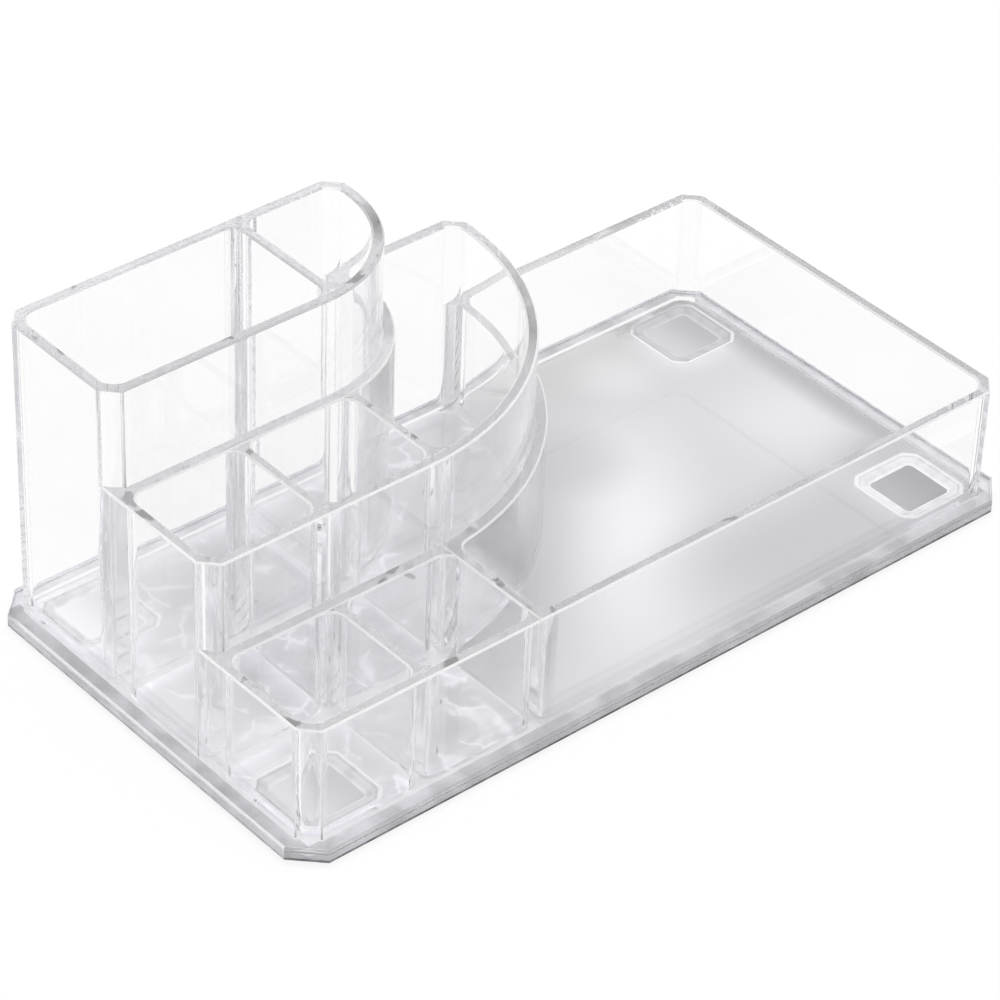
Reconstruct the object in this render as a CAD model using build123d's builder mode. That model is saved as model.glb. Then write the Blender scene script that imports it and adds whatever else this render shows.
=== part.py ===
"""Clear stepped makeup organizer: nested wall loops, dividers and feet on one base plate."""

import os
from math import atan, degrees

from build123d import *

os.makedirs("parts", exist_ok=True)

# Base plate: one flat plate whose edge stands proud of the walls as a flange
base_length = 240.0
base_width = 128.6
base_thickness = 4.0
base_corner = 7.7
base_edge = 0.6
under_edge = 0.2
edge_line_drop = 1.0
edge_line_width = 0.3
edge_line_depth = 0.3

# Walls: one thickness throughout, cut corners outside and rounded corners inside
wall = 3.1
wall_inset = 4.3
wall_corner = 4.5
cell_radius = 4.0
rim_edge = 0.5
seat_depth = 1.0
seat_clearance = 0.1
bond = 0.1

# Tiers: rim heights above the plate's underside, lengths and depths over the outer faces
tall_height = 92.0
tall_length = 103.2
tall_depth = 43.7
tall_end_flat = 3.0
mid_height = 63.6
mid_length = 144.5
mid_depth = 38.3
mid_end_flat = 0.6
low_height = 37.5
low_length = 71.9

# Dividers: thickness, and distance of each centre from the left outer face
divider = 2.8
tall_divider_at = 70.2
mid_divider_left_at = 36.8
mid_divider_right_at = 72.1
low_divider_at = 37.0

# Feet: tapered square plugs with a shallow dish, one near each corner of the plate
foot_stand = 1.0
foot_top = 23.5
foot_bottom = 17.5
foot_corner = 3.0
foot_margin = 1.2
foot_lip = 0.6
dish_bottom = 15.3
dish_depth = 1.0

# Faces and levels that follow from these sizes
left = wall_inset - base_length / 2
right = base_length / 2 - wall_inset
front = wall_inset - base_width / 2
back = base_width / 2 - wall_inset
tall_front = back - tall_depth
tall_right = left + tall_length
tall_bend = tall_depth - wall_corner - tall_end_flat
mid_front = tall_front - mid_depth
mid_right = left + mid_length
mid_bend = tall_depth + mid_depth - wall_corner - mid_end_flat
partition = left + low_length
floor = foot_stand + base_thickness
seat = floor - seat_depth
foot_x = base_length / 2 - wall_inset - wall - foot_margin - foot_top / 2
foot_y = base_width / 2 - wall_inset - wall - foot_margin - foot_top / 2
foot_taper = degrees(atan((foot_top - foot_bottom) / 2 / floor))
dish_taper = degrees(atan((foot_top - foot_lip * 2 - dish_bottom) / 2 / dish_depth))


def rectangle_plan(x_from, x_to, y_from, y_to):
    """A rectangle given by its four sides."""
    with BuildSketch() as plan:
        with Locations(((x_from + x_to) / 2, (y_from + y_to) / 2)):
            Rectangle(x_to - x_from, y_to - y_from)
    return plan.sketch


def tier_plan(front_y, right_x, bend, grow):
    """A tier's outer plan, grown all round: one large bend at the front right, cut corners elsewhere."""
    nose = (right_x + grow, front_y - grow)
    with BuildSketch() as plan:
        add(rectangle_plan(left - grow, right_x + grow, front_y - grow, back + grow))
        fillet(plan.vertices().sort_by_distance(nose)[0], bend + grow)
        chamfer(plan.vertices().sort_by_distance(nose)[2:], wall_corner)
    return plan.sketch


def web_plan(centre_from_left, y_from, y_to):
    """The straight web of a divider that runs from front to back."""
    centre = left + centre_from_left
    return rectangle_plan(centre - divider / 2, centre + divider / 2, y_from, y_to)


def rounded(region):
    """The region with each of its corners eased to the inside radius."""
    with BuildSketch() as eased:
        add(region)
        offset(amount=-cell_radius, kind=Kind.INTERSECTION)
        offset(amount=cell_radius, kind=Kind.ARC)
    return eased.sketch


def inset(region, amount):
    """The region drawn in by an even amount."""
    with BuildSketch() as smaller:
        add(region)
        offset(amount=-amount, kind=Kind.INTERSECTION)
    return smaller.sketch


def without(region, *cuts):
    """The region less the given plans."""
    with BuildSketch() as rest:
        add(region)
        for cut in cuts:
            add(cut, mode=Mode.SUBTRACT)
    return rest.sketch


def free_rims(walls, *glued_plans):
    """The edges round the top of some walls, less those that run along a glued neighbour."""
    top = walls.faces().sort_by(Axis.Z)[-1]
    rims = top.edges()
    for plan in glued_plans:
        neighbour = Pos(0, 0, top.center().Z) * plan
        rims = rims.filter_by(lambda rim: neighbour.distance_to(rim @ 0.5) > bond * 2)
    return rims


# Plan of each tier, out to its outer faces: each wraps round its taller neighbour with a glue line between
tall_plan = tier_plan(tall_front, tall_right, tall_bend, 0)
tall_grown = tier_plan(tall_front, tall_right, tall_bend, bond)
mid_grown = tier_plan(mid_front, mid_right, mid_bend, bond)
mid_plan = without(tier_plan(mid_front, mid_right, mid_bend, 0), tall_grown)

with BuildSketch() as wall_outline:
    add(rectangle_plan(left, right, front, back))
    chamfer(wall_outline.vertices(), wall_corner)

with BuildSketch() as low_outline:
    add(wall_outline.sketch)
    add(rectangle_plan(left, partition + wall, front, mid_front + wall_corner), mode=Mode.INTERSECT)
    add(mid_grown, mode=Mode.SUBTRACT)

with BuildSketch() as tray_outline:
    add(wall_outline.sketch)
    add(rectangle_plan(partition, right, front, back), mode=Mode.INTERSECT)
    add(mid_grown, mode=Mode.SUBTRACT)

# Inside of each tier before and after its dividers: the cells are what stays open
tall_inside = inset(tall_plan, wall)
mid_inside = inset(mid_plan, wall)
low_inside = inset(low_outline.sketch, wall)
tall_pocket = rounded(tall_inside)
mid_pocket = rounded(mid_inside)
low_pocket = rounded(low_inside)
tray_cell = rounded(inset(tray_outline.sketch, wall))
tall_cells = rounded(without(tall_inside, web_plan(tall_divider_at, tall_front, back)))
mid_cells = rounded(
    without(
        mid_inside,
        web_plan(mid_divider_left_at, mid_front, tall_front),
        web_plan(mid_divider_right_at, mid_front, back),
    )
)
low_cells = rounded(without(low_inside, web_plan(low_divider_at, front, mid_front)))


def foot_outline(size, plane):
    """A square with cut corners, the plan of a foot at one level."""
    with BuildSketch(plane) as outline:
        Rectangle(size, size)
        chamfer(outline.vertices(), foot_corner)
    return outline.sketch


feet = {
    "foot_front_left": Plane((-foot_x, -foot_y, 0)),
    "foot_front_right": Plane((foot_x, -foot_y, 0)),
    "foot_back_left": Plane((-foot_x, foot_y, 0)),
    "foot_back_right": Plane((foot_x, foot_y, 0)),
}


with BuildPart() as base_plate:
    with BuildSketch(Plane.XY.offset(foot_stand)) as plate_plan:
        Rectangle(base_length, base_width)
        chamfer(plate_plan.vertices(), base_corner)
    extrude(amount=base_thickness)
    fillet(base_plate.faces().sort_by(Axis.Z)[-1].edges(), base_edge)
    chamfer(base_plate.faces().sort_by(Axis.Z)[0].edges(), under_edge)
    with BuildSketch(Plane.XY.offset(floor)):
        add(wall_outline.sketch)
        offset(amount=seat_clearance, kind=Kind.INTERSECTION)
        for cells in (tall_cells, mid_cells, low_cells, tray_cell):
            add(inset(cells, seat_clearance), mode=Mode.SUBTRACT)
    extrude(amount=-seat_depth, mode=Mode.SUBTRACT)
    for plane in feet.values():
        socket_plan = foot_outline(foot_top + bond * 2, plane.offset(floor))
        extrude(socket_plan, amount=floor, dir=(0, 0, -1), taper=foot_taper, mode=Mode.SUBTRACT)
    with BuildSketch(Plane.XY.offset(floor - edge_line_drop)):
        add(plate_plan.sketch)
        offset(amount=-edge_line_depth, kind=Kind.INTERSECTION, mode=Mode.SUBTRACT)
    extrude(amount=-edge_line_width, mode=Mode.SUBTRACT)
base_plate.part.label = "base_plate"
export_step(base_plate.part, "parts/base_plate.step")

with BuildPart() as tall_wall:
    with BuildSketch(Plane.XY.offset(seat)):
        add(tall_plan)
        add(tall_pocket, mode=Mode.SUBTRACT)
    extrude(amount=foot_stand + tall_height - seat)
    chamfer(free_rims(tall_wall), rim_edge)
tall_wall.part.label = "tall_wall"
export_step(tall_wall.part, "parts/tall_wall.step")

with BuildPart() as mid_wall:
    with BuildSketch(Plane.XY.offset(seat)):
        add(mid_plan)
        add(mid_pocket, mode=Mode.SUBTRACT)
    extrude(amount=foot_stand + mid_height - seat)
    chamfer(free_rims(mid_wall, tall_plan), rim_edge)
mid_wall.part.label = "mid_wall"
export_step(mid_wall.part, "parts/mid_wall.step")

with BuildPart() as low_wall:
    with BuildSketch(Plane.XY.offset(seat)):
        add(low_outline.sketch)
        add(low_pocket, mode=Mode.SUBTRACT)
        add(rectangle_plan(left, partition - bond, front, back), mode=Mode.INTERSECT)
    extrude(amount=foot_stand + low_height - seat)
    chamfer(free_rims(low_wall, mid_plan, tray_outline.sketch), rim_edge)
low_wall.part.label = "low_wall"
export_step(low_wall.part, "parts/low_wall.step")

with BuildPart() as tray_wall:
    with BuildSketch(Plane.XY.offset(seat)):
        add(tray_outline.sketch)
        add(tray_cell, mode=Mode.SUBTRACT)
    extrude(amount=foot_stand + low_height - seat)
    chamfer(free_rims(tray_wall, mid_plan), rim_edge)
tray_wall.part.label = "tray_wall"
export_step(tray_wall.part, "parts/tray_wall.step")

tall_webs = without(inset(tall_pocket, bond), tall_cells).faces()
mid_webs = without(inset(mid_pocket, bond), mid_cells).faces().sort_by(Axis.X)
low_webs = without(inset(low_pocket, bond), low_cells).faces()
dividers = {
    "tall_divider": (tall_webs[0], tall_height),
    "mid_divider_left": (mid_webs[0], mid_height),
    "mid_divider_right": (mid_webs[1], mid_height),
    "low_divider": (low_webs[0], low_height),
}
for name, (web, height) in dividers.items():
    with BuildPart() as divider_plate:
        with BuildSketch(Plane.XY.offset(seat)):
            add(web)
        extrude(amount=foot_stand + height - seat)
        chamfer(divider_plate.faces().sort_by(Axis.Z)[-1].edges().filter_by(Axis.Y), rim_edge)
    divider_plate.part.label = name
    export_step(divider_plate.part, f"parts/{name}.step")

for name, plane in feet.items():
    with BuildPart() as foot:
        extrude(foot_outline(foot_top, plane.offset(floor)), amount=floor, dir=(0, 0, -1), taper=foot_taper)
        dish_plan = foot_outline(foot_top - foot_lip * 2, plane.offset(floor))
        extrude(dish_plan, amount=dish_depth, dir=(0, 0, -1), taper=dish_taper, mode=Mode.SUBTRACT)
    foot.part.label = name
    export_step(foot.part, f"parts/{name}.step")
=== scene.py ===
# %% [markdown]
# # A clear stepped makeup organizer
# The real object is an open desk organizer in clear acrylic: three stepped tiers of small cells, one wide
# low tray, a flat base with a flange and four feet. The CAD model already has every wall at its true size.
# Blender's work is the plastic: how it bends light, how its joints vanish and how its rims catch the lamps.

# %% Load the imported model
import math

import bmesh
import bpy
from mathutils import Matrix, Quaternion, Vector
from mathutils.bvhtree import BVHTree


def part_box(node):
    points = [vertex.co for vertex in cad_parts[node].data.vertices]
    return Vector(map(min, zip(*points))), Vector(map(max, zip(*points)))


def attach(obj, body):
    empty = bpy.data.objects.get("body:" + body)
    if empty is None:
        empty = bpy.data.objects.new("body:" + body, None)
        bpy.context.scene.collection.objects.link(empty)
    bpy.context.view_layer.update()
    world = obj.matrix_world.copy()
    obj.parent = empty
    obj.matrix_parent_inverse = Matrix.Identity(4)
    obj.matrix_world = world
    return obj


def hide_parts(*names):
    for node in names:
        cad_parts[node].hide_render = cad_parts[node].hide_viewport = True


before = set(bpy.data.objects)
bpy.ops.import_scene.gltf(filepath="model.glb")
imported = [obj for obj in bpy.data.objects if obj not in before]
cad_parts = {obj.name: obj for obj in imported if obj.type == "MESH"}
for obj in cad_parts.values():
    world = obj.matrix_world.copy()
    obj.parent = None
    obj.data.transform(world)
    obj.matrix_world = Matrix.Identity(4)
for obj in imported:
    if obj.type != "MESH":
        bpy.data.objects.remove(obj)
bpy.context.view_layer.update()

MM = 0.001
scene = bpy.context.scene
scene.view_settings.view_transform = "Standard"

# %% [markdown]
# ## The camera
# The photograph looks down on the front left corner through a long lens. The place, the direction and the
# small roll were worked out from the straight edges of the base and the rims, so they are set as numbers.
# A long lens keeps the walls nearly parallel, which a clear object needs: every edge is seen twice.

# %% Camera
CAMERA_PLACE = Vector((-591.27, -655.75, 681.26)) * MM
CAMERA_LOOK = Vector((0.5331, 0.5964, -0.6001)).normalized()
CAMERA_ROLL = math.radians(-2.274)
LENS = 153.98
SENSOR = 36.0

camera = bpy.data.objects.new("camera", bpy.data.cameras.new("camera"))
scene.collection.objects.link(camera)
camera.data.lens = LENS
camera.data.sensor_width = SENSOR
camera.location = CAMERA_PLACE
camera.rotation_mode = "QUATERNION"
camera.rotation_quaternion = Quaternion(CAMERA_LOOK, CAMERA_ROLL) @ CAMERA_LOOK.to_track_quat("-Z", "Y")
scene.camera = camera
print("camera", round(CAMERA_PLACE.length, 3), "m from the base's middle")


# %% [markdown]
# ## Shader sums in Python
# Node trees are easier to read as sums. This class wraps one socket: plus, minus and times add Math nodes,
# and one method makes any other node from its type, its settings and its inputs.

# %% A socket that does arithmetic
class Socket:
    """One socket of a node tree."""

    def __init__(self, tree, socket=None):
        self.tree = tree
        self.socket = socket

    def node(self, kind, settings=None, inputs=None, output=0):
        """Adds a node: its settings first, then its inputs by name or number, each a value or a socket."""
        made = self.tree.nodes.new("ShaderNode" + kind)
        for name, value in (settings or {}).items():
            if name == "stops":
                stops = made.color_ramp.elements
                for place, colour in value[1:-1]:
                    stops.new(place).color = colour
                stops[0].position, stops[0].color = value[0]
                stops[-1].position, stops[-1].color = value[-1]
            else:
                setattr(made, name, value)
        for name, value in (inputs or {}).items():
            if isinstance(value, Socket):
                self.tree.links.new(value.socket, made.inputs[name])
            else:
                made.inputs[name].default_value = value
        return Socket(self.tree, made.outputs[output] if made.outputs else None)

    def maths(self, operation, first, second):
        """Adds a Math node, whose two inputs are numbers or sockets."""
        return self.node("Math", {"operation": operation}, {0: first, 1: second})

    def __add__(self, other):
        return self.maths("ADD", self, other)

    def __radd__(self, other):
        return self.maths("ADD", other, self)

    def __sub__(self, other):
        return self.maths("SUBTRACT", self, other)

    def __rsub__(self, other):
        return self.maths("SUBTRACT", other, self)

    def __mul__(self, other):
        return self.maths("MULTIPLY", self, other)

    def __rmul__(self, other):
        return self.maths("MULTIPLY", other, self)


print("shader sums ready")

# %% [markdown]
# ## Tones and small nodes
# Every finish here is a grey, and the photograph's greys lean a little towards violet, so one function makes
# them all. A few nodes come back in nearly every finish: a noise, a mix of colours and a mix of shaders.
# Each gets a function, so that a material reads as a short recipe.

# %% Tones and small nodes
GREEN_LOSS = 0.008
BLUE_GAIN = 0.03


def grey(level, violet=0.25):
    """A grey with a trace of violet."""
    return (level, level * (1.0 - GREEN_LOSS * violet), level * (1.0 + BLUE_GAIN * violet), 1.0)


def new_material(name):
    """An empty material, and a socket from which its nodes start."""
    material = bpy.data.materials.new(name)
    material.use_nodes = True
    material.node_tree.nodes.clear()
    return material, Socket(material.node_tree)


def object_place(tree):
    """Where a point lies on the object, in metres."""
    return tree.node("TexCoord", output="Object")


def noise(tree, place, scale, detail, distortion=0.0, output=0):
    """A soft, cloudy noise."""
    inputs = {"Vector": place, "Scale": scale, "Detail": detail, "Distortion": distortion}
    return tree.node("TexNoise", {}, inputs, output)


def blend(tree, share, first, second, kind="MIX"):
    """Two colours mixed by a share."""
    settings = {"data_type": "RGBA", "blend_type": kind}
    return tree.node("Mix", settings, {0: share, 6: first, 7: second}, output=2)


def mixed(tree, share, first, second):
    """Two shaders mixed by a share."""
    return tree.node("MixShader", {}, {0: share, 1: first, 2: second})


WHITE = grey(1.0, 0.0)
print("white", WHITE, "half grey", [round(part, 3) for part in grey(0.5)])

# %% [markdown]
# ## Clear acrylic
# Acrylic bends light a little less than glass, 1.49 against 1.52, and is very nearly colourless. Its faces
# are not quite flat: a slow wave is left from the mould, which is why lines seen through a wall wander.
# Light has to reach the floor through the plastic, so shadow rays are let through with a slight loss.

# %% Clear acrylic
ACRYLIC_IOR = 1.49
SHADOW_TINT = grey(0.985, 0.1)
POLISH_DRIFT = 0.02
WAVE_HEIGHT = 1.0 * MM
WALL_WAVE = 0.03
DIVIDER_WAVE = 0.04
FINE_WAVE = 0.02


def clear_nodes(tree, place, wave):
    """The nodes of clear plastic: a slight drift of tint and polish, and a slow wave of the face."""
    drift = noise(tree, place, 30.0, 2.0)
    slow = noise(tree, place, 55.0, 1.0)
    return tree.node("BsdfPrincipled", {}, {
        "Base Color": blend(tree, drift, WHITE, grey(0.997, 0.1)),
        "Roughness": drift * POLISH_DRIFT,
        "IOR": ACRYLIC_IOR,
        "Transmission Weight": 1.0,
        "Normal": tree.node("Bump", {}, {"Strength": wave, "Distance": WAVE_HEIGHT, "Height": slow}),
    })


def see_through(tree, colour):
    """A face that light passes without a bend."""
    return tree.node("BsdfTransparent", {}, {"Color": colour})


def finish_clear(tree, surface):
    """Ends a material that lets the lamps shine through it."""
    shadow = tree.node("LightPath", output="Is Shadow Ray")
    ending = mixed(tree, shadow, surface, see_through(tree, SHADOW_TINT))
    tree.node("OutputMaterial", {}, {"Surface": ending})


def clear_acrylic(name, wave):
    """The plain plastic of one kind of piece."""
    material, tree = new_material(name)
    finish_clear(tree, clear_nodes(tree, object_place(tree), wave))
    return material


clear = {
    "clear_wall": clear_acrylic("clear_wall", WALL_WAVE),
    "clear_divider": clear_acrylic("clear_divider", DIVIDER_WAVE),
    "clear_base": clear_acrylic("clear_base", FINE_WAVE),
    "clear_foot": clear_acrylic("clear_foot", FINE_WAVE),
}
print("acrylics", list(clear))

# %% [markdown]
# ## The joints
# Solvent joins acrylic so well that light passes a joint as if it weren't there. The CAD keeps a glue line of
# a tenth of a millimetre between its pieces, and two clear faces there would mirror like silver. So a face
# that lies against another piece is simply see-through, with the faint clouding that the solvent left.

# %% Joint material
CLOUDING = 0.015


def satin(tree, colour, roughness):
    """A plain face with a soft shine."""
    return tree.node("BsdfPrincipled", {}, {"Base Color": colour, "Roughness": roughness})


def bonded_joint():
    """See-through, with a trace of satin where the solvent clouded it."""
    material, tree = new_material("bonded_joint")
    cloud = noise(tree, object_place(tree), 200.0, 2.0)
    surface = mixed(tree, cloud * CLOUDING, see_through(tree, WHITE), satin(tree, grey(0.9), 0.4))
    finish_clear(tree, surface)
    return material


joint = bonded_joint()
print("joint", joint.name)

# %% [markdown]
# ## The two bends
# Where one tier's wall curves round the next, its outer face shows a soft grey, darkest by the nearest
# divider and fading to the right. It is painted shade: a thin dark film on the bend stands in for the shade.
# It shows only from outside: a ray that runs along inside the wall would meet it again and again and turn
# black.

# %% Bend material
BEND_CENTRE = (-48.1 * MM, 54.9 * MM, 0.0)
BEND_RADIUS = 76.9 * MM
TALL_CENTRE = (-48.7 * MM, 52.5 * MM, 0.0)
TALL_RADIUS = 36.2 * MM
WALL_AND_GLUE = 3.2 * MM
FILM_SLOPE = 1.18
FILM_EDGE = 16.0 * MM


def silver(level):
    """The cooler grey of the painted films and of the base."""
    return grey(level, 1.0)


def coordinate(tree, place, axis):
    """One coordinate of a point: X to the right, Y to the back, Z up."""
    return tree.node("SeparateXYZ", {}, {0: place}, output=axis)


def rising(tree, value, low, high, top=1.0):
    """Nought below one value and the given top above another, with a soft climb between."""
    return tree.node("MapRange", {"interpolation_type": "SMOOTHSTEP"}, {
        "Value": value, "From Min": low, "From Max": high, "To Min": 0.0, "To Max": top,
    })


def bend_shade_face(name, start, share, fade_from, fade_to):
    """Clear plastic with a dark film of painted shade that lies above a falling line and fades to the right.
    """
    material, tree = new_material(name)
    place = object_place(tree)
    right = coordinate(tree, place, "X")
    slope = coordinate(tree, place, "Z") + right * FILM_SLOPE
    above = rising(tree, slope, start, start + FILM_EDGE)
    inside = tree.node("NewGeometry", output="Backfacing")
    fade = (1.0 - rising(tree, right, fade_from, fade_to)) * (1.0 - inside) * share
    # Painted shade: a dark satin film over the clear bend.
    film = satin(tree, silver(0.12), 0.4)
    finish_clear(tree, mixed(tree, above * fade, clear_nodes(tree, place, WALL_WAVE), film))
    return material


tray_bend_shade = bend_shade_face("tray_bend_shade", start=-17.0 * MM, share=0.36, fade_from=-25.0 * MM, fade_to=22.0 * MM)
mid_bend_shade = bend_shade_face("mid_bend_shade", start=9.0 * MM, share=0.26, fade_from=-23.0 * MM, fade_to=-9.5 * MM)
bends = {
    "tray_wall": (tray_bend_shade, BEND_CENTRE, BEND_RADIUS + WALL_AND_GLUE),
    "mid_wall": (mid_bend_shade, TALL_CENTRE, TALL_RADIUS + WALL_AND_GLUE),
}
print("bends", [made[0].name for made in bends.values()])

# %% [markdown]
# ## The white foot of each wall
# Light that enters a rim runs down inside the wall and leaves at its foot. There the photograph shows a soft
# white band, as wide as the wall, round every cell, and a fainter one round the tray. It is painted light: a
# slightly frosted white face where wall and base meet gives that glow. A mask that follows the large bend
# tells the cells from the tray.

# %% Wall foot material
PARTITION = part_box("tray_wall")[0].x
LEVEL = (1.0, 1.0, 0.0)
FROST_LEAST = 0.65
FROST_DRIFT = 0.3
TRAY_LOSS = 0.75


def from_spot(tree, place, spot):
    """A point's distance from the upright line through a spot on the floor."""
    level = tree.node("VectorMath", {"operation": "MULTIPLY"}, {0: place, 1: LEVEL})
    return tree.node("VectorMath", {"operation": "DISTANCE"}, {0: level, 1: spot}, output="Value")


def in_tray(tree, place, margin):
    """One in the open tray and nought under the cells; the margin widens the tray at the bend."""
    start = BEND_RADIUS - margin
    beyond = rising(tree, from_spot(tree, place, BEND_CENTRE), start, start + 2.0 * MM)
    past = rising(tree, coordinate(tree, place, "X"), PARTITION, PARTITION + 3.0 * MM)
    return beyond * past


def frosted_foot_glow():
    """A cloudy white face of painted light, fainter in the tray."""
    material, tree = new_material("frosted_foot_glow")
    place = object_place(tree)
    cloud = noise(tree, place, 120.0, 3.0)
    # Painted light: the white frost stands in for the glow where light leaves the wall.
    frost = satin(tree, blend(tree, cloud, grey(0.78), grey(0.95)), 0.5)
    share = (cloud * FROST_DRIFT + FROST_LEAST) * (1.0 - TRAY_LOSS * in_tray(tree, place, 6.0 * MM))
    finish_clear(tree, mixed(tree, share, see_through(tree, WHITE), frost))
    return material


foot_glow_band = frosted_foot_glow()
print("wall foot", foot_glow_band.name)

# %% [markdown]
# ## Eased edges
# Every free edge of the moulding is eased by half a millimetre. Such a narrow face gathers light from the
# whole studio and shows as a fine white line. That line is a painted highlight: clear plastic with a large
# share of satin white gives it from every side. On the tall tier the line stands against the white ground and
# is grey, and along the back wall hardly any of it shows, so height and depth turn the highlight down there.

# %% Edge material
TALL_EDGES = (85.0 * MM, 90.0 * MM)
BACK_EDGES = (50.0 * MM, 56.0 * MM)
EDGE_LEAST = 0.65
EDGE_DRIFT = 0.3
TALL_EDGE_LOSS = 0.35
BACK_EDGE_LOSS = 0.85


def eased_edge_highlight():
    """A painted highlight of satin over clear plastic: white, but grey on the tall tier and nearly clear at
    the back.
    """
    material, tree = new_material("eased_edge_highlight")
    place = object_place(tree)
    cloud = noise(tree, place, 90.0, 2.0)
    high = rising(tree, coordinate(tree, place, "Z"), *TALL_EDGES)
    back = rising(tree, coordinate(tree, place, "Y"), *BACK_EDGES, BACK_EDGE_LOSS)
    # Painted highlight: white satin, turned grey on the tall tier.
    tone = blend(tree, cloud, grey(0.98), grey(0.86))
    tone = blend(tree, high, tone, grey(0.45))
    share = (cloud * EDGE_DRIFT + EDGE_LEAST) * (1.0 - high * TALL_EDGE_LOSS) * (1.0 - back)
    finish_clear(tree, mixed(tree, share, clear_nodes(tree, place, FINE_WAVE), satin(tree, tone, 0.25)))
    return material


edge_highlight = eased_edge_highlight()
print("edges", edge_highlight.name)

# %% [markdown]
# ## Rims
# Looked at from above, a rim shows the inside of its wall: a soft grey, a little uneven, with a short dark
# dash here and there where it mirrors a joint below. On the bends of the two upper tiers it has a longer dark
# streak. The rims at the back, the ledge against the tall tier and the front right rim are paler, because the
# light behind them comes straight through. The inner half of the back rims is clear, and the tall divider's
# rim is faint. A thin grey film over clear plastic paints all of this: the grey as painted shade, the dashes
# and the streak as painted reflections. Two noises break it up.

# %% Rim material
CROSSING = (PARTITION + 1.5 * MM, -22.0 * MM, 0.0)
CROSSING_CLEAR = (8.0 * MM, 12.0 * MM)
STREAK_AIM = (0.848, -0.53, 0.0)
ABOVE_LOW_TIER = (50.0 * MM, 60.0 * MM)
ABOVE_MID_TIER = (70.0 * MM, 80.0 * MM)
LEDGE_DEPTH = (6.0 * MM, 13.0 * MM)
FAR_DEPTH = (40.0 * MM, 58.0 * MM)
FRONT_DEPTH = (50.0 * MM, 55.0 * MM)
LEDGE_LOSS = 0.45
FAR_LOSS = 0.65
FRONT_LOSS = 0.45
RIM_LEAST = 0.28
RIM_DRIFT = 0.35


def rim_left_over(tree, place):
    """The share of a rim's painted film that is left after the ledge, the back and the front right lose some.
    """
    depth = coordinate(tree, place, "Y")
    height = coordinate(tree, place, "Z")
    middle = rising(tree, height, *ABOVE_LOW_TIER) - rising(tree, height, *ABOVE_MID_TIER)
    ledge = rising(tree, depth, *LEDGE_DEPTH, LEDGE_LOSS) * middle
    far = tree.maths("MAXIMUM", rising(tree, depth, *FAR_DEPTH, FAR_LOSS), ledge)
    right = rising(tree, coordinate(tree, place, "X"), 0.0, 50.0 * MM)
    front = rising(tree, 0.0 - depth, *FRONT_DEPTH, FRONT_LOSS) * right
    return (1.0 - far) * (1.0 - front)


def rim_reflection_dashes(tree, place):
    """Painted reflections: dark dashes on the left, clear of the tray's inner corner, and a streak on the
    upper tiers' bends.
    """
    spots = noise(tree, place, 120.0, 3.0)
    arm = tree.node("VectorMath", {"operation": "SUBTRACT"}, {0: place, 1: BEND_CENTRE})
    level = tree.node("VectorMath", {"operation": "MULTIPLY"}, {0: arm, 1: LEVEL})
    aim = tree.node("VectorMath", {"operation": "NORMALIZE"}, {0: level})
    turn = tree.node("VectorMath", {"operation": "DOT_PRODUCT"}, {0: aim, 1: STREAK_AIM}, output="Value")
    upper = rising(tree, coordinate(tree, place, "Z"), *ABOVE_LOW_TIER)
    streak = rising(tree, turn, 0.94, 1.0) * upper * (spots * 1.2)
    apart = rising(tree, from_spot(tree, place, CROSSING), *CROSSING_CLEAR)
    right = rising(tree, coordinate(tree, place, "X"), 20.0 * MM, 50.0 * MM)
    return rising(tree, spots, 0.6, 0.65, 0.7) * apart * (1.0 - right) + streak


def polished_rim(name, weight):
    """A grey film of painted shade, with dark dashes of painted reflection, over clear plastic; the weight
    thins the grey.
    """
    material, tree = new_material(name)
    place = object_place(tree)
    depth = coordinate(tree, place, "Y")
    inner = rising(tree, depth, 55.0 * MM, 56.5 * MM) - rising(tree, depth, 58.2 * MM, 58.8 * MM)
    dark = rim_reflection_dashes(tree, place)
    # Painted shade in the grey film, and painted reflections in the dark dashes.
    film = satin(tree, blend(tree, dark, grey(0.4), grey(0.08)), 0.25)
    cloud = noise(tree, place, 70.0, 1.0)
    share = (cloud * RIM_DRIFT + RIM_LEAST) * rim_left_over(tree, place) * weight + dark * 0.5
    share = share * (1.0 - 0.9 * inner)
    finish_clear(tree, mixed(tree, share, clear_nodes(tree, place, FINE_WAVE), film))
    return material


rim = polished_rim("polished_rim", 1.0)
faint_rim = polished_rim("faint_rim", 0.4)
print("rims", rim.name, faint_rim.name)

# %% [markdown]
# ## The silvery floor of the tray
# Seen from above, the base is a soft silver grey. In the tray lies one bright oval pool of light, with a
# shadow towards the cells, darker corners at the front right and along the right wall, and smaller pools by
# the right wall and at the back. All of it lies under the clear plate, so only the plate's lower face is
# painted. Each pool or shadow is a soft mask that blends one more tone in.

# %% Tray tones
POOL = (30.0 * MM, -12.0 * MM, 0.0)
POOL_ACROSS = (0.762, -0.648, 0.0)
POOL_ALONG = (0.648, 0.762, 0.0)
SMALL_POOL = (98.0 * MM, -2.0 * MM, 0.0)
BACK_POOL = (73.0 * MM, 43.0 * MM, 0.0)
BEND_SHADE = (37.0 * MM, 20.0 * MM, 0.0)


def slant(tree, place, centre, direction):
    """How far a point lies along a direction from a centre on the floor."""
    arm = tree.node("VectorMath", {"operation": "SUBTRACT"}, {0: place, 1: centre})
    return tree.node("VectorMath", {"operation": "DOT_PRODUCT"}, {0: arm, 1: direction}, output="Value")


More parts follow.
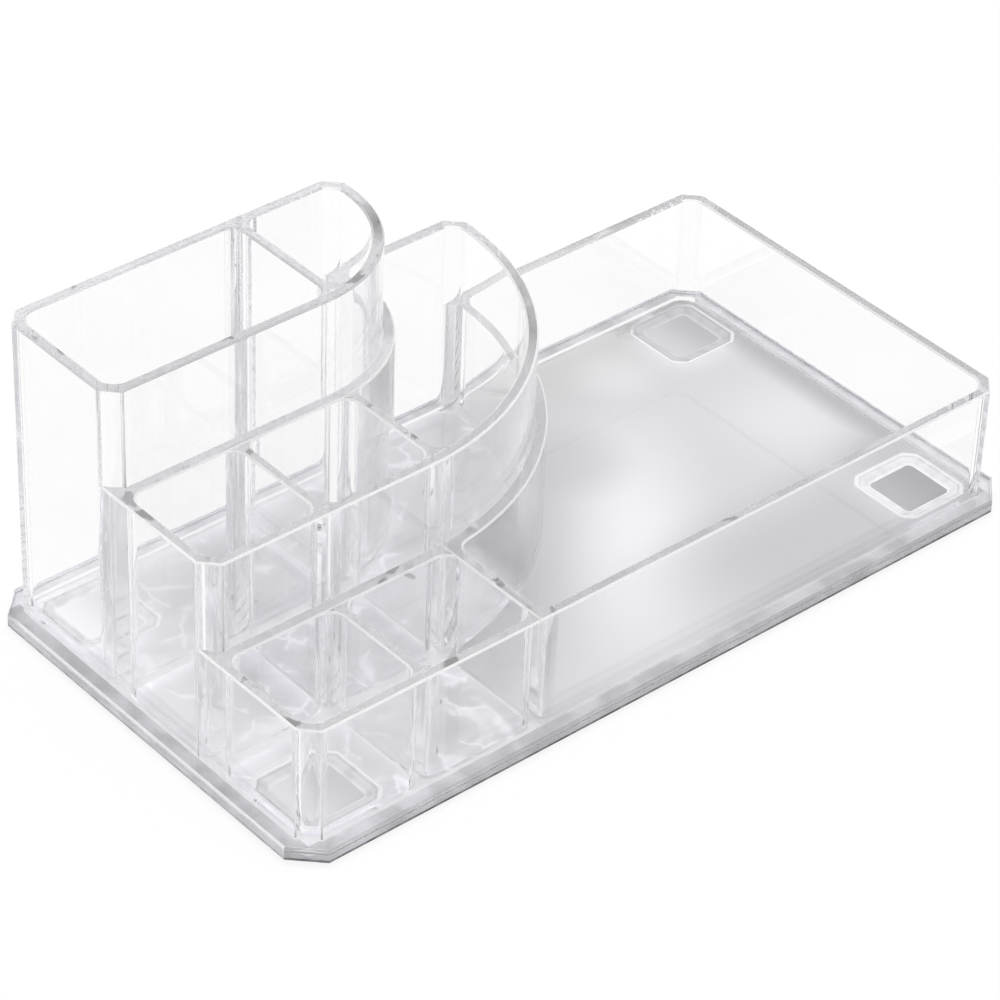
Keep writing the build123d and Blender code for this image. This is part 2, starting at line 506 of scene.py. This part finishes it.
def tray_pool(tree, place):
    """The large oval pool of painted light: one at its middle and nought at its rim."""
    along = slant(tree, place, POOL, POOL_ALONG)
    across = slant(tree, place, POOL, POOL_ACROSS)
    length = rising(tree, along, -70.0 * MM, -5.0 * MM) - rising(tree, along, -5.0 * MM, 70.0 * MM)
    aside = tree.maths("ABSOLUTE", across - 2.0 * MM, 0.0)
    return length * (1.0 - rising(tree, aside, 0.0, 26.0 * MM))


def tray_shade(tree, place):
    """The shadow between the pool and the cells, which thins out at the back and along the front wall."""
    across = slant(tree, place, POOL, POOL_ACROSS)
    depth = coordinate(tree, place, "Y")
    shade = rising(tree, 0.0 - across, 2.0 * MM, 45.0 * MM)
    shade = shade * (1.0 - rising(tree, depth, 12.0 * MM, 45.0 * MM))
    return shade * (1.0 - rising(tree, 0.0 - depth, 25.0 * MM, 50.0 * MM, 0.4))


def round_spot(tree, place, tone, spot, inner, outer, share, colour):
    """Blends a colour in round a spot: its full share inside one radius and none past the other."""
    apart = from_spot(tree, place, spot)
    return blend(tree, share - rising(tree, apart, inner, outer, share), tone, colour)


def tray_tone(tree, place):
    """The tray's painted light and shade, one grey over the other."""
    right = coordinate(tree, place, "X")
    depth = coordinate(tree, place, "Y")
    front = 0.0 - depth
    tone = blend(tree, tray_shade(tree, place), silver(0.74), silver(0.47))
    tone = blend(tree, tray_pool(tree, place), tone, silver(0.955))
    # Painted shade in the front right corner.
    corner = rising(tree, front, 12.0 * MM, 40.0 * MM) * rising(tree, right, 0.0, 55.0 * MM)
    tone = blend(tree, corner, tone, silver(0.55))
    tone = round_spot(tree, place, tone, SMALL_POOL, 0.0, 30.0 * MM, 1.0, silver(0.86))
    tone = round_spot(tree, place, tone, BEND_SHADE, 4.0 * MM, 22.0 * MM, 0.5, silver(0.58))
    tone = round_spot(tree, place, tone, BACK_POOL, 2.0 * MM, 18.0 * MM, 0.7, silver(0.92))
    # Painted shade along the right wall.
    side = rising(tree, right, 85.0 * MM, 110.0 * MM) * rising(tree, front, 12.0 * MM, 35.0 * MM)
    side = tree.maths("MAXIMUM", side, rising(tree, right, 104.0 * MM, 114.0 * MM))
    tone = blend(tree, side, tone, silver(0.5))
    # Painted shade, broken into streaks, in the back right corner.
    streaks = noise(tree, place, 90.0, 3.0)
    back_corner_shade = rising(tree, depth, 50.0 * MM, 56.0 * MM) * rising(tree, right, 78.0 * MM, 88.0 * MM)
    tone = blend(tree, back_corner_shade * rising(tree, streaks, 0.4, 0.6, 0.8), tone, silver(0.42))
    # Painted shade: the tray darkens towards the back.
    return blend(tree, rising(tree, depth, 20.0 * MM, 55.0 * MM), tone, grey(0.9, -1.0), "MULTIPLY")


print("pools at", [[round(v / MM) for v in spot[:2]] for spot in (POOL, SMALL_POOL, BACK_POOL)], "mm")

# %% [markdown]
# ## The painted reflections on the floor of the cells
# Under the cells the silver grey is broken into facets with pale seams, like crumpled film, with small bright
# glints and a few dark specks. The facets and seams are painted reflections, and the glints painted
# highlights.
# A Voronoi texture gives the facets and their seams. A noise pushes its coordinates first, because straight
# Voronoi edges would look like tiles. The cells along the left and the back are paler, one is dimmer and one
# is bright, as painted light and shade.

# %% Cell tones
CREASE_PUSH = (12.0 * MM, 12.0 * MM, 0.0)
FACET_SCALE = 75.0
SHADED_CELL = (-74.0 * MM, 44.0 * MM, 0.0)
LIT_CELL = (-22.0 * MM, 0.0, 0.0)


def crumple_reflections(tree, place, pushed):
    """Painted reflections: facets of several greys, with pale seams between some of them."""
    crease = noise(tree, place, 45.0, 3.0, distortion=1.6)
    corners = {"Vector": pushed, "Scale": FACET_SCALE}
    facet = tree.node("TexVoronoi", {}, corners, output="Color")
    tilt = tree.node("SeparateColor", {}, {0: facet}, output="Red")
    gap = tree.node("TexVoronoi", {"feature": "DISTANCE_TO_EDGE"}, corners)
    seam = (1.0 - rising(tree, gap, 0.0, 0.07)) * rising(tree, crease, 0.46, 0.6, 0.8)
    tone = tree.node("ValToRGB", {"stops": [
        (0.3, silver(0.6)), (0.45, silver(0.68)), (0.6, silver(0.73)), (0.72, silver(0.9)),
    ]}, {0: crease})
    tone = blend(tree, tilt * 0.45, tone, silver(0.54))
    return blend(tree, seam, tone, silver(0.95))


def cell_tone(tree, place):
    """The cells' greys: painted reflections in creased facets, painted light and shade in paler and dimmer
    cells, painted glints, and specks.
    """
    right = coordinate(tree, place, "X")
    depth = coordinate(tree, place, "Y")
    warp = noise(tree, place, 80.0, 2.0, output="Color")
    pushed = tree.node("VectorMath", {"operation": "MULTIPLY_ADD"}, {0: warp, 1: CREASE_PUSH, 2: place})
    tone = crumple_reflections(tree, place, pushed)
    # Painted light: the cells along the left and the back are paler.
    left = rising(tree, 0.0 - right, 85.0 * MM, 105.0 * MM, 0.42)
    back = rising(tree, depth, 45.0 * MM, 57.0 * MM, 0.5)
    back = back * (1.0 - rising(tree, right, -45.0 * MM, -20.0 * MM))
    tone = blend(tree, tree.maths("MAXIMUM", left, back), tone, silver(0.92))
    # Painted shade over one cell and painted light over another.
    tone = round_spot(tree, place, tone, SHADED_CELL, 10.0 * MM, 35.0 * MM, 0.3, silver(0.5))
    tone = round_spot(tree, place, tone, LIT_CELL, 6.0 * MM, 24.0 * MM, 0.55, silver(0.88))
    # Painted highlights: small bright glints.
    apart = tree.node("TexVoronoi", {}, {"Vector": place, "Scale": 45.0}, output="Distance")
    tone = blend(tree, 1.0 - rising(tree, apart, 0.03, 0.06), tone, silver(0.98))
    flat = {"voronoi_dimensions": "2D"}
    speck = tree.node("TexVoronoi", flat, {"Vector": pushed, "Scale": 28.0}, output="Distance")
    return blend(tree, 1.0 - rising(tree, speck, 0.025, 0.05), tone, silver(0.35))


print("facets", FACET_SCALE, "to the metre")

# %% [markdown]
# ## The underside, the flange and the sides of the base
# The mask of the wall feet joins the two floors into one finish. The flange has no pattern: it is a plain
# satin grey, darker at the left and front than at the right and back, as painted shade and painted light.
# The front and right sides of the base are clear with a grey film of painted reflection. Two fine lines run
# along every side: dark ones at the front, grey ones at the left and right, and pale ones at the back, as
# painted shade and painted light.

# %% Base materials
FLANGE_GRAIN = 110.0
LINE_GRAIN = 250.0


def silver_underside():
    """The floors of the tray and the cells in one finish, with their painted light and shade."""
    material, tree = new_material("silver_underside")
    place = object_place(tree)
    tone = blend(tree, in_tray(tree, place, 3.0 * MM), cell_tone(tree, place), tray_tone(tree, place))
    cloud = noise(tree, place, 25.0, 2.0)
    tree.node("OutputMaterial", {}, {"Surface": satin(tree, tone, cloud * 0.2 + 0.35)})
    return material


def patchy_grey(tree, cloud, light, dark):
    """A grey that drifts between two tones."""
    return blend(tree, rising(tree, cloud, 0.35, 0.65), silver(light), silver(dark))


def satin_grey(name, light, dark, scale):
    """A satin face whose grey drifts between two tones."""
    material, tree = new_material(name)
    cloud = noise(tree, object_place(tree), scale, 3.0)
    surface = satin(tree, patchy_grey(tree, cloud, light, dark), cloud * 0.2 + 0.3)
    tree.node("OutputMaterial", {}, {"Surface": surface})
    return material


def side_film(name, light, dark, least):
    """A side of the base: clear, with a grey film of painted reflection where it mirrors the dark below it.
    """
    material, tree = new_material(name)
    place = object_place(tree)
    cloud = noise(tree, place, 60.0, 3.0)
    film = satin(tree, patchy_grey(tree, cloud, light, dark), 0.25)
    share = cloud * 0.4 + least
    finish_clear(tree, mixed(tree, share, clear_nodes(tree, place, FINE_WAVE), film))
    return material


underside = silver_underside()
# Painted shade and light: one satin grey, darker at the left and front, lighter at the right and back.
shaded_front_flange = satin_grey("shaded_front_flange", 0.67, 0.51, FLANGE_GRAIN)
shaded_left_flange = satin_grey("shaded_left_flange", 0.57, 0.43, FLANGE_GRAIN)
lit_far_flange = satin_grey("lit_far_flange", 0.83, 0.7, FLANGE_GRAIN)
lit_back_flange = satin_grey("lit_back_flange", 0.75, 0.56, FLANGE_GRAIN)
# Painted reflection: grey films on the clear sides, darker at the front.
base_front = side_film("base_front", 0.4, 0.2, 0.2)
base_right = side_film("base_right", 0.6, 0.45, 0.3)
# Painted shade and light in the fine lines: dark at the front, grey at the sides, pale at the back.
shadow_line = satin_grey("shadow_line", 0.26, 0.09, LINE_GRAIN)
half_shaded_line = satin_grey("half_shaded_line", 0.55, 0.4, LINE_GRAIN)
lit_line = satin_grey("lit_line", 0.92, 0.8, 300.0)
sole = satin_grey("foot_sole", 0.7, 0.6, 60.0)
flanges = (shaded_front_flange, shaded_left_flange, lit_far_flange, lit_back_flange)
print("base finishes", underside.name, [made.name for made in flanges])

# %% [markdown]
# ## The dished feet
# Each foot is a tapered plug with a shallow square dish on top. The four dishes look alike in shape, but each
# gathers another part of the studio, painted into its greys as painted reflection: the front right one is a
# clear grey that deepens to the right, the others are paler. The sides have a fine painted highlight at the
# top and a darker line of painted shade under it, so they take a ramp over the height.

# %% Dish materials
# The greys of the dish floors and sides are painted reflection, one set per foot.
DISH_FLOOR = {
    "foot_front_left": 0.66,
    "foot_front_right": 0.36,
    "foot_back_left": 0.88,
    "foot_back_right": 0.58,
}
DISH_SIDE = {
    "foot_front_left": 0.75,
    "foot_front_right": 0.87,
    "foot_back_left": 0.86,
    "foot_back_right": 0.62,
}
DISH_HALF = 8.0 * MM
DISH_DEPTH = 1.0 * MM


def dish_floor_material(name):
    """A dish's floor of painted reflection, lighter at its left and darker at its right."""
    low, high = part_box(name)
    middle = (low.x + high.x) / 2
    tone = DISH_FLOOR[name]
    material, tree = new_material("dish_floor_" + name[5:])
    place = object_place(tree)
    right = rising(tree, coordinate(tree, place, "X"), middle - DISH_HALF, middle + DISH_HALF)
    cloud = noise(tree, place, 60.0, 3.0)
    colour = blend(tree, right, silver(tone * 1.12), silver(tone * 0.88))
    finish_clear(tree, satin(tree, colour, cloud * 0.2 + 0.3))
    return material


def dish_side_material(name):
    """A dish's sloping side, with its painted highlight line and its painted shade line."""
    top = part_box(name)[1].z
    tone = DISH_SIDE[name]
    material, tree = new_material("dish_side_" + name[5:])
    place = object_place(tree)
    height = coordinate(tree, place, "Z")
    rise = tree.node("MapRange", {}, {"Value": height, "From Min": top - DISH_DEPTH, "From Max": top})
    band = tree.node("ValToRGB", {"stops": [
        (0.0, silver(tone * 1.12)), (0.15, silver(tone * 1.05)), (0.3, silver(tone * 0.94)),
        (0.7, silver(tone)), (0.85, silver(tone * 0.8)), (1.0, silver(tone * 1.15)),
    ]}, {0: rise})
    cloud = noise(tree, place, 220.0, 2.0)
    colour = blend(tree, rising(tree, cloud, 0.45, 0.65), band, grey(0.87), "MULTIPLY")
    finish_clear(tree, satin(tree, colour, 0.3))
    return material


dish_floor = {name: dish_floor_material(name) for name in DISH_FLOOR}
dish_side = {name: dish_side_material(name) for name in DISH_SIDE}
print("dishes", [material.name for material in dish_floor.values()])

# %% [markdown]
# ## Copies that can be finished face by face
# A CAD node's own mesh isn't touched. A copy of it is merged into a closed skin, and the diagonals of its
# upright faces are dissolved, so that each flat of a wall is one quad again. A wall and its groove, or a foot
# and the floor, can't share a plane, or dark patches show, so each copy's lowest points go up by a hair.

# %% Merged copies
MERGE = 0.001 * MM
SAME_PLANE = math.radians(0.3)
OPEN_EDGE = 9.0
LOWEST = 0.01 * MM
LIFT = 0.03 * MM


def merged_copy(node):
    """A closed bmesh of a CAD node, whose own mesh is loose triangles."""
    shape = bmesh.new()
    shape.from_mesh(node.data)
    bmesh.ops.remove_doubles(shape, verts=shape.verts, dist=MERGE)
    diagonals = []
    for line in shape.edges:
        upright = all(abs(face.normal.z) < 0.01 for face in line.link_faces)
        if upright and line.calc_face_angle(OPEN_EDGE) < SAME_PLANE:
            diagonals.append(line)
    bmesh.ops.dissolve_edges(shape, edges=diagonals, use_verts=False)
    return shape


def lift_foot(shape):
    """Raises the lowest points by a hair."""
    lowest = min(point.co.z for point in shape.verts)
    for point in shape.verts:
        if point.co.z < lowest + LOWEST:
            point.co.z += LIFT


copies = {name: merged_copy(node) for name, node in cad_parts.items()}
for name in copies:
    if name != "base_plate":
        lift_foot(copies[name])
print("faces", {name: len(shape.faces) for name, shape in copies.items()})

# %% [markdown]
# ## Cutting where a neighbour ends
# A tall wall is bonded to the next tier up to that tier's rim and free above it. Each copy is cut at the
# limits of the pieces that touch it, so that every face is either wholly bonded or wholly free. Only faces
# near the neighbour are cut, because a cut across a clear bend shows as a line. The base is cut all over: it
# is flat, so a cut in it can't be seen.

# %% Cuts
TOUCH = 0.3 * MM
CUT_MARGIN = 0.05 * MM
CUT_SNAP = 0.0005 * MM
INNER_CORNER = 7.1 * MM
UNDER_LINE = 0.9 * MM
FLANGE_INSET = 1.9 * MM
walls_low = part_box("low_wall")[0]
walls_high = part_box("tray_wall")[1]


def reaches(face, low, high):
    """Whether a face comes near a box."""
    for axis in range(3):
        spread = [point.co[axis] for point in face.verts]
        if max(spread) < low[axis] - TOUCH or min(spread) > high[axis] + TOUCH:
            return False
    return True


def cut(shape, axis, place, box=None):
    """Divides a shape's faces along one level: all of them, or those near a box."""
    normal = Vector((0.0, 0.0, 0.0))
    normal[axis] = 1.0
    faces = [face for face in shape.faces if box is None or reaches(face, *box)]
    edges = {line for face in faces for line in face.edges}
    points = {point for face in faces for point in face.verts}
    geometry = [*points, *edges, *faces]
    bmesh.ops.bisect_plane(shape, geom=geometry, dist=CUT_SNAP, plane_co=normal * place, plane_no=normal)


def touching(name):
    """The pieces whose boxes touch this one's."""
    low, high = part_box(name)
    found = []
    for other in copies:
        other_low, other_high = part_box(other)
        apart = max(max(other_low[k] - high[k], low[k] - other_high[k]) for k in range(3))
        if other != name and apart < TOUCH:
            found.append(other)
    return found


for name, shape in copies.items():
    low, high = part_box(name)
    for other in touching(name):
        box = None if name == "base_plate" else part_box(other)
        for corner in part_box(other):
            for axis in range(3):
                if low[axis] + CUT_MARGIN < corner[axis] < high[axis] - CUT_MARGIN:
                    cut(shape, axis, corner[axis], box)
cut(copies["tray_wall"], 1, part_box("tray_wall")[0].y + INNER_CORNER)
cut(copies["tray_wall"], 1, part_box("mid_wall")[0].y - INNER_CORNER)
cut(copies["base_plate"], 2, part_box("base_plate")[0].z + UNDER_LINE)
cut(copies["base_plate"], 0, walls_low.x + FLANGE_INSET)
cut(copies["base_plate"], 1, walls_low.y + FLANGE_INSET)
print("faces after cuts", {name: len(shape.faces) for name, shape in copies.items()})

# %% [markdown]
# ## Finding the bonded faces
# A face is bonded if a short ray from its middle meets another piece. Blender's BVH tree answers that for
# every face in a moment, so no list of joints has to be kept by hand.

# %% Bonded faces
STEP_BACK = 0.05 * MM
trees = {name: BVHTree.FromBMesh(shape) for name, shape in copies.items()}


def is_bonded(name, face):
    """Whether a face lies against another piece."""
    start = face.calc_center_median() - face.normal * STEP_BACK
    others = (tree for other, tree in trees.items() if other != name)
    return any(tree.ray_cast(start, face.normal, TOUCH)[0] for tree in others)


bonded = {name: {face for face in shape.faces if is_bonded(name, face)} for name, shape in copies.items()}
print("bonded faces", {name: len(faces) for name, faces in bonded.items()})

# %% [markdown]
# ## Which finish goes where
# Each face is sorted by the way it looks and the height at which it lies: rims look up, eased edges lean,
# the underside looks down. The order of the tests matters: a wall's foot is white though it is bonded, and
# any other bonded face is never anything else.

# %% Wall and divider finishes
FLAT = 0.9
LEANING = 0.2
ON_BEND = 0.5 * MM


def bend_shade_finish(name, face):
    """The bend's film of painted shade, if an upright face lies on that wall's bend."""
    if name not in bends or abs(face.normal.z) > 0.1:
        return None
    material, centre, radius = bends[name]
    arm = face.calc_center_median().xy - Vector(centre).xy
    return material if abs(arm.length - radius) < ON_BEND else None


def wall_finish(name, face, is_joint):
    """The finish of one face of a wall or divider, or nothing where it is plain and clear."""
    if face.normal.z < -FLAT:
        return foot_glow_band
    if is_joint:
        return joint
    film = bend_shade_finish(name, face)
    if film:
        return film
    if face.normal.z > FLAT:
        return faint_rim if name == "tall_divider" else rim
    # Leaning eased edges take the painted highlight.
    return edge_highlight if face.normal.z > LEANING else None


print("bend films on", list(bends))

# %% Base and foot finishes
CLOSE = 0.1 * MM
EDGE_LINE_TOP = 0.9 * MM
EDGE_LINE_BOTTOM = 1.4 * MM
FACES_SIDE = 0.9
FACES_CORNER = 0.3
base_low, base_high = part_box("base_plate")


def underside_finish(point):
    """The base's lower face: plain under the flange, each side with its own grey, painted darker at the left
    and front and lighter at the right and back, and patterned inside.
    """
    if point.x > walls_high.x:
        return lit_far_flange
    if point.y > walls_high.y:
        return lit_far_flange if point.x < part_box("tall_wall")[1].x else lit_back_flange
    if point.x < walls_low.x + FLANGE_INSET:
        return shaded_left_flange
    return shaded_front_flange if point.y < walls_low.y + FLANGE_INSET else underside


def base_line(face):
    """The tone of the two fine lines along a side of the base: painted shade at the front, painted light at
    the back.
    """
    if face.normal.y < -FACES_CORNER:
        return shadow_line
    return half_shaded_line if face.normal.x < -FACES_CORNER or face.normal.x > FACES_SIDE else lit_line


def base_finish(name, face, is_joint):
    """The finish of one face of the base, or nothing where it is plain and clear."""
    middle = face.calc_center_median()
    if is_joint:
        return joint
    if face.normal.z < -FLAT and middle.z < base_low.z + CLOSE:
        return underside_finish(middle)
    if middle.z < base_low.z + UNDER_LINE:
        return base_line(face)
    if base_high.z - EDGE_LINE_BOTTOM < middle.z < base_high.z - EDGE_LINE_TOP:
        return base_line(face)
    if face.normal.y < -FACES_CORNER:
        return base_front
    if face.normal.x > FACES_SIDE:
        return base_right
    # The eased top edge of the base takes the painted highlight.
    return edge_highlight if 0.1 < face.normal.z < 0.95 else None


def foot_finish(name, face, is_joint):
    """The finish of one face of a foot, or nothing where it is plain and clear."""
    height = face.calc_center_median().z
    if is_joint:
        return joint
    if face.normal.z < -FLAT:
        return sole
    if face.normal.z > 0.99:
        # The dish's top lip takes the painted highlight.
        return edge_highlight if height > base_high.z - CLOSE else dish_floor[name]
    return dish_side[name] if face.normal.z > 0.05 else None


finish_of = {}
for name in copies:
    kind = name.split("_")[0] if name.startswith(("foot", "base")) else "wall"
    finish_of[name] = {"wall": wall_finish, "base": base_finish, "foot": foot_finish}[kind]
print("finishes chosen for", len(finish_of), "pieces")

# %% [markdown]
# ## The pieces
# Each copy now becomes a visible piece that stands for its CAD node. Its faces take their finishes, and the
# upright cut corners of the walls are eased with a small bevel, because a moulded corner always catches a
# line of light; the bevel's faces take the painted highlight of the eased edges. The corners at the back
# right stay sharp: there the photograph shows no line. A Weighted Normal modifier keeps the large flats flat
# beside the narrow eased faces.

# %% Faces and corners
SHARP = math.radians(25.0)
CORNER_FROM = math.radians(30.0)
CORNER_TO = math.radians(60.0)
CORNER_EASE = 0.45 * MM
FAR_RIGHT_OF = -50.0 * MM
FAR_BEHIND = 40.0 * MM


def paint(name, shape, plain):
    """Gives each face its finish, and returns the materials in the order of their numbers."""
    materials = [plain]
    for face in shape.faces:
        face.smooth = True
        finish = finish_of[name](name, face, face in bonded[name]) or plain
        if finish not in materials:
            materials.append(finish)
        face.material_index = materials.index(finish)
    return materials


def free_corners(name, shape):
    """Marks the sharp edges, and finds a wall's upright corners between plain faces, less the back right."""
    corners = []
    for line in shape.edges:
        bend = line.calc_face_angle(0.0)
        line.smooth = bend < SHARP
        start, end = (point.co for point in line.verts)
        upright = abs((start - end).normalized().z) > 0.99
        plain = all(face.material_index == 0 for face in line.link_faces)
        far = start.x > FAR_RIGHT_OF and start.y > FAR_BEHIND
        if name.endswith("wall") and upright and plain and not far and CORNER_FROM < bend < CORNER_TO:
            corners.append(line)
    return corners


def ease(shape, corners, number):
    """Bevels corners, and gives the new faces the material with that number."""
    made = bmesh.ops.bevel(shape, geom=corners, offset=CORNER_EASE, offset_type="OFFSET", affect="EDGES",
                           segments=2, profile=0.5, material=-1, clamp_overlap=True)
    for face in made["faces"]:
        face.material_index = number
        face.smooth = True


print("corners eased by", CORNER_EASE / MM, "mm")

# %% Pieces
for name, shape in copies.items():
    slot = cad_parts[name].material_slots[0].material.name
    materials = paint(name, shape, clear[slot])
    corners = free_corners(name, shape)
    if corners:
        materials.append(edge_highlight)
        ease(shape, corners, len(materials) - 1)
    mesh = bpy.data.meshes.new(name + "_clear")
    shape.to_mesh(mesh)
    for material in materials:
        mesh.materials.append(material)
    piece = bpy.data.objects.new(name + "_clear", mesh)
    scene.collection.objects.link(piece)
    weighted = piece.modifiers.new("flat faces stay flat", "WEIGHTED_NORMAL")
    weighted.keep_sharp = True
    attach(piece, "root")
    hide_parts(name)
    print(name, "faces", len(mesh.polygons), "corners", len(corners), [m.name for m in materials])

# %% [markdown]
# ## The floor
# The photograph has a plain white ground and no hard shadow. The floor shows white to the camera and through
# the plastic, and a share of it is matt, so that the object's faint shadow stays. To every other ray it is a
# plain pale floor, so it doesn't light the object.

# %% Floor
FLOOR_HALF = 6.0
GLOW_SHARE = 0.88


def seen_rays(tree):
    """One for rays that the camera sees, directly, in a reflection or through the plastic."""
    names = ("Is Camera Ray", "Is Glossy Ray", "Is Transmission Ray")
    direct, mirrored, bent = (tree.node("LightPath", output=name) for name in names)
    return direct + mirrored + bent


floor_shape = bmesh.new()
bmesh.ops.create_grid(floor_shape, x_segments=1, y_segments=1, size=FLOOR_HALF)
floor_mesh = bpy.data.meshes.new("floor")
floor_shape.to_mesh(floor_mesh)
floor = bpy.data.objects.new("floor", floor_mesh)
scene.collection.objects.link(floor)

floor_material, tree = new_material("white_floor")
matt = tree.node("BsdfDiffuse", {}, {"Color": grey(0.9, 0.0)})
glow = tree.node("Emission", {}, {"Color": WHITE, "Strength": 1.0})
lit = mixed(tree, GLOW_SHARE, matt, glow)
tree.node("OutputMaterial", {}, {"Surface": mixed(tree, seen_rays(tree), matt, lit)})
floor_mesh.materials.append(floor_material)
print("floor", round(floor.dimensions.x, 1), "m wide")

# %% [markdown]
# ## World and lamps
# The world is white wherever the camera sees it and a weak fill for all other rays. Three large lamps give
# the soft light of a studio. They are hidden from reflections and from sight through the plastic, where
# their square shapes would show. Light has many walls to pass here, so the paths may be long.

# %% World
FILL = 0.2
world = bpy.data.worlds.new("studio")
scene.world = world
world.use_nodes = True
world.node_tree.nodes.clear()
tree = Socket(world.node_tree)
white = tree.node("Background", {}, {"Color": WHITE, "Strength": 1.0})
fill = tree.node("Background", {}, {"Color": WHITE, "Strength": FILL})
tree.node("OutputWorld", {}, {"Surface": mixed(tree, seen_rays(tree), fill, white)})
print("world", world.name, "fill", FILL)

# %% Lamps
LAMP_AIM = Vector((0.0, 0.0, 0.03))
BOUNCES = 64


def lamp(name, place, size, power):
    """A square lamp that looks at the object."""
    light = bpy.data.lights.new(name, "AREA")
    light.size = size
    light.energy = power
    light.cycles.use_multiple_importance_sampling = False
    made = bpy.data.objects.new(name, light)
    made.location = place
    made.rotation_mode = "QUATERNION"
    made.rotation_quaternion = (LAMP_AIM - Vector(place)).to_track_quat("-Z", "Y")
    made.visible_glossy = False
    made.visible_transmission = False
    scene.collection.objects.link(made)


lamp("top_lamp", (0.1, 0.3, 1.3), size=1.2, power=15.4)
lamp("left_lamp", (-1.2, -0.2, 0.9), size=0.9, power=6.6)
lamp("right_lamp", (1.0, -0.7, 0.9), size=0.9, power=6.6)
scene.cycles.max_bounces = BOUNCES
scene.cycles.transmission_bounces = BOUNCES
scene.cycles.glossy_bounces = BOUNCES
scene.cycles.transparent_max_bounces = BOUNCES
scene.cycles.diffuse_bounces = 3
scene.cycles.caustics_reflective = False
scene.cycles.caustics_refractive = False
print("lamps", [light.name for light in bpy.data.lights])
